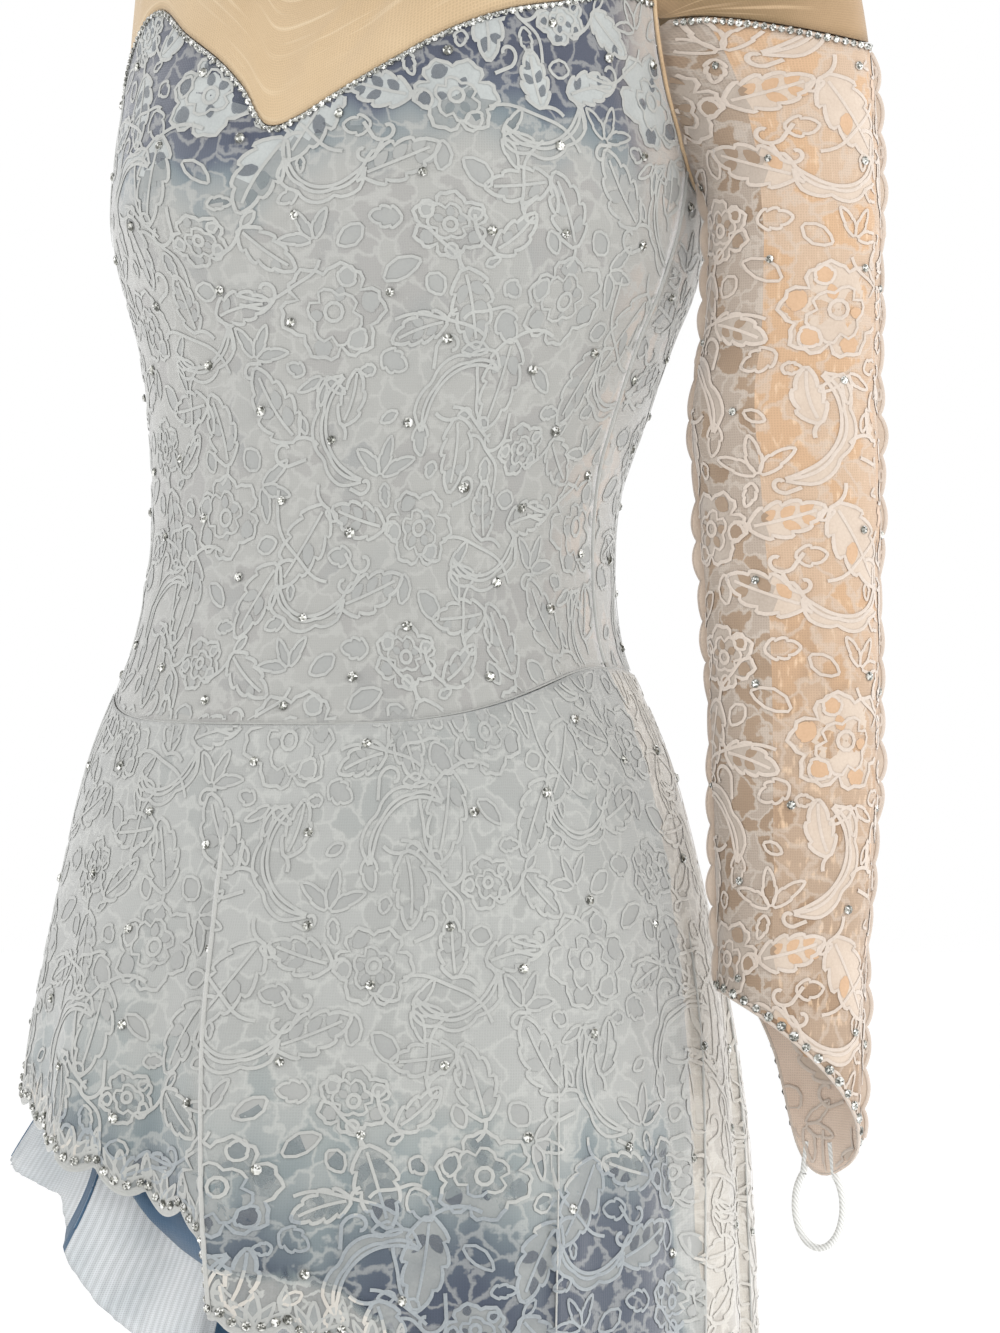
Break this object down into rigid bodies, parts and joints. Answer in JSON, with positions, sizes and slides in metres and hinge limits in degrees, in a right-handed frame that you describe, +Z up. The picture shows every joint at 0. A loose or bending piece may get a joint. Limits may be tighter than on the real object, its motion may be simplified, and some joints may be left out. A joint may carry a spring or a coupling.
{
  "type": "figure skating dress",
  "caption": "Long-sleeved skating dress with a sheer yoke, lace bodice, pointed cuffs with finger loops and a slanting layered skirt, held in its worn shape.",
  "frame": {"origin": "between the shoulders, where the wearer's shoulders carry the dress, just below the sides of the neck", "axes": "+Z up, the front faces -Y, the wearer's left is +X"},
  "size_m": [0.4494, 0.416, 0.924],
  "materials": {
    "nude_mesh": "sheer skin-toned stretch net",
    "bodice_lace": "corded floral lace over dip-dyed stretch jersey",
    "sleeve_lace": "corded floral lace lined with skin-toned net",
    "elastic": "thin round elastic",
    "skirt_lace": "corded floral lace, scalloped hem",
    "skirt_lining": "dip-dyed stretch jersey, pale at the waist and navy at the hem",
    "organza": "sheer organza with a dark blue edge",
    "lace_thread": "pale lace motifs and their raised cord outlines",
    "crystal": "faceted clear rhinestones on silver foil"
  },
  "bodies": {
    "root": {"yoke_front": "nude_mesh", "yoke_back": "nude_mesh", "shoulder_cap_left": "nude_mesh", "shoulder_cap_right": "nude_mesh", "bodice_front": "bodice_lace", "bodice_back": "bodice_lace", "sleeve_left": "sleeve_lace", "sleeve_right": "sleeve_lace", "finger_loop_left": "elastic", "finger_loop_right": "elastic", "skirt_lace": "skirt_lace", "skirt_lining": "skirt_lining", "skirt_mesh": "organza"}
  },
  "joints": []
}
